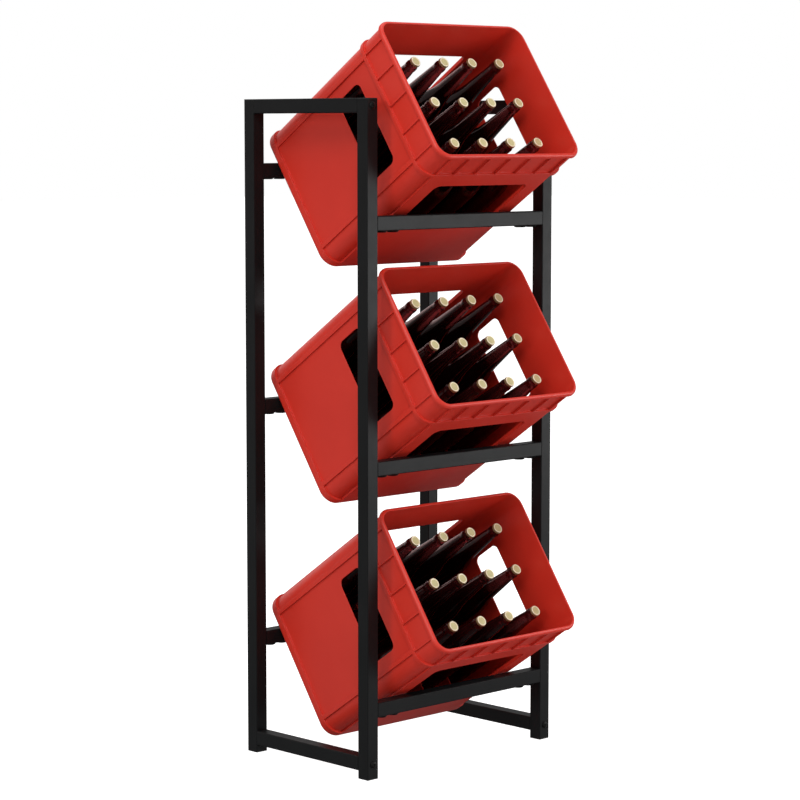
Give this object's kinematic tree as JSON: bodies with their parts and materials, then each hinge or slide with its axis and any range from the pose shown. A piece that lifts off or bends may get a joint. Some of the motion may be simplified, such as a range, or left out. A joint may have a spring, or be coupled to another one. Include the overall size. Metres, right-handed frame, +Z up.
{
  "type": "drinks crate rack",
  "caption": "Open square-tube floor rack that holds moulded bottle crates tilted toward the front, one above another, so that bottles can be drawn out by hand.",
  "frame": {"origin": "middle of the rack's footprint on the floor, between the four feet", "axes": "+X along the crossbars to the right side, +Y from the front that the bottles are drawn from to the rear, +Z up"},
  "size_m": [0.459, 0.4398, 1.2898],
  "materials": {
    "frame_paint": "satin",
    "plug_plastic": "matte",
    "fastener_steel": "satin",
    "crate_plastic": "satin",
    "bottle_glass": "gloss",
    "crown_cap": "satin"
  },
  "bodies": {
    "rack": {"foot_plugs": "plug_plastic", "left_bottom_rail": "frame_paint", "left_front_post": "frame_paint", "left_front_stubs": "frame_paint", "left_rear_post": "frame_paint", "left_rear_stubs": "frame_paint", "left_top_rail": "frame_paint", "lower_front_crossbar": "frame_paint", "lower_rear_crossbar": "frame_paint", "middle_front_crossbar": "frame_paint", "middle_rear_crossbar": "frame_paint", "post_bolts": "fastener_steel", "rail_nuts": "fastener_steel", "right_bottom_rail": "frame_paint", "right_front_post": "frame_paint", "right_front_stubs": "frame_paint", "right_rear_post": "frame_paint", "right_rear_stubs": "frame_paint", "right_top_rail": "frame_paint", "top_plugs": "plug_plastic", "upper_front_crossbar": "frame_paint", "upper_rear_crossbar": "frame_paint"},
    "lower_crate_body": {"lower_crate": "crate_plastic", "lower_long_dividers": "crate_plastic", "lower_short_dividers": "crate_plastic"},
    "lower_bottle_load": {"lower_bottles": "bottle_glass", "lower_caps": "crown_cap"},
    "middle_crate_body": {"middle_crate": "crate_plastic", "middle_long_dividers": "crate_plastic", "middle_short_dividers": "crate_plastic"},
    "middle_bottle_load": {"middle_bottles": "bottle_glass", "middle_caps": "crown_cap"},
    "upper_crate_body": {"upper_crate": "crate_plastic", "upper_long_dividers": "crate_plastic", "upper_short_dividers": "crate_plastic"},
    "upper_bottle_load": {"upper_bottles": "bottle_glass", "upper_caps": "crown_cap"}
  },
  "joints": [
    {"name": "lower_crate_draw", "type": "slide", "parent": "rack", "child": "lower_crate_body", "axis": [0, -0.8281, 0.5606], "range_m": [0, 0.36]},
    {"name": "lower_bottle_draw", "type": "slide", "parent": "lower_crate_body", "child": "lower_bottle_load", "axis": [0, -0.8281, 0.5606], "range_m": [0, 0.32]},
    {"name": "middle_crate_draw", "type": "slide", "parent": "rack", "child": "middle_crate_body", "axis": [0, -0.8281, 0.5606], "range_m": [0, 0.36]},
    {"name": "middle_bottle_draw", "type": "slide", "parent": "middle_crate_body", "child": "middle_bottle_load", "axis": [0, -0.8281, 0.5606], "range_m": [0, 0.32]},
    {"name": "upper_crate_draw", "type": "slide", "parent": "rack", "child": "upper_crate_body", "axis": [0, -0.8281, 0.5606], "range_m": [0, 0.36]},
    {"name": "upper_bottle_draw", "type": "slide", "parent": "upper_crate_body", "child": "upper_bottle_load", "axis": [0, -0.8281, 0.5606], "range_m": [0, 0.32]}
  ]
}
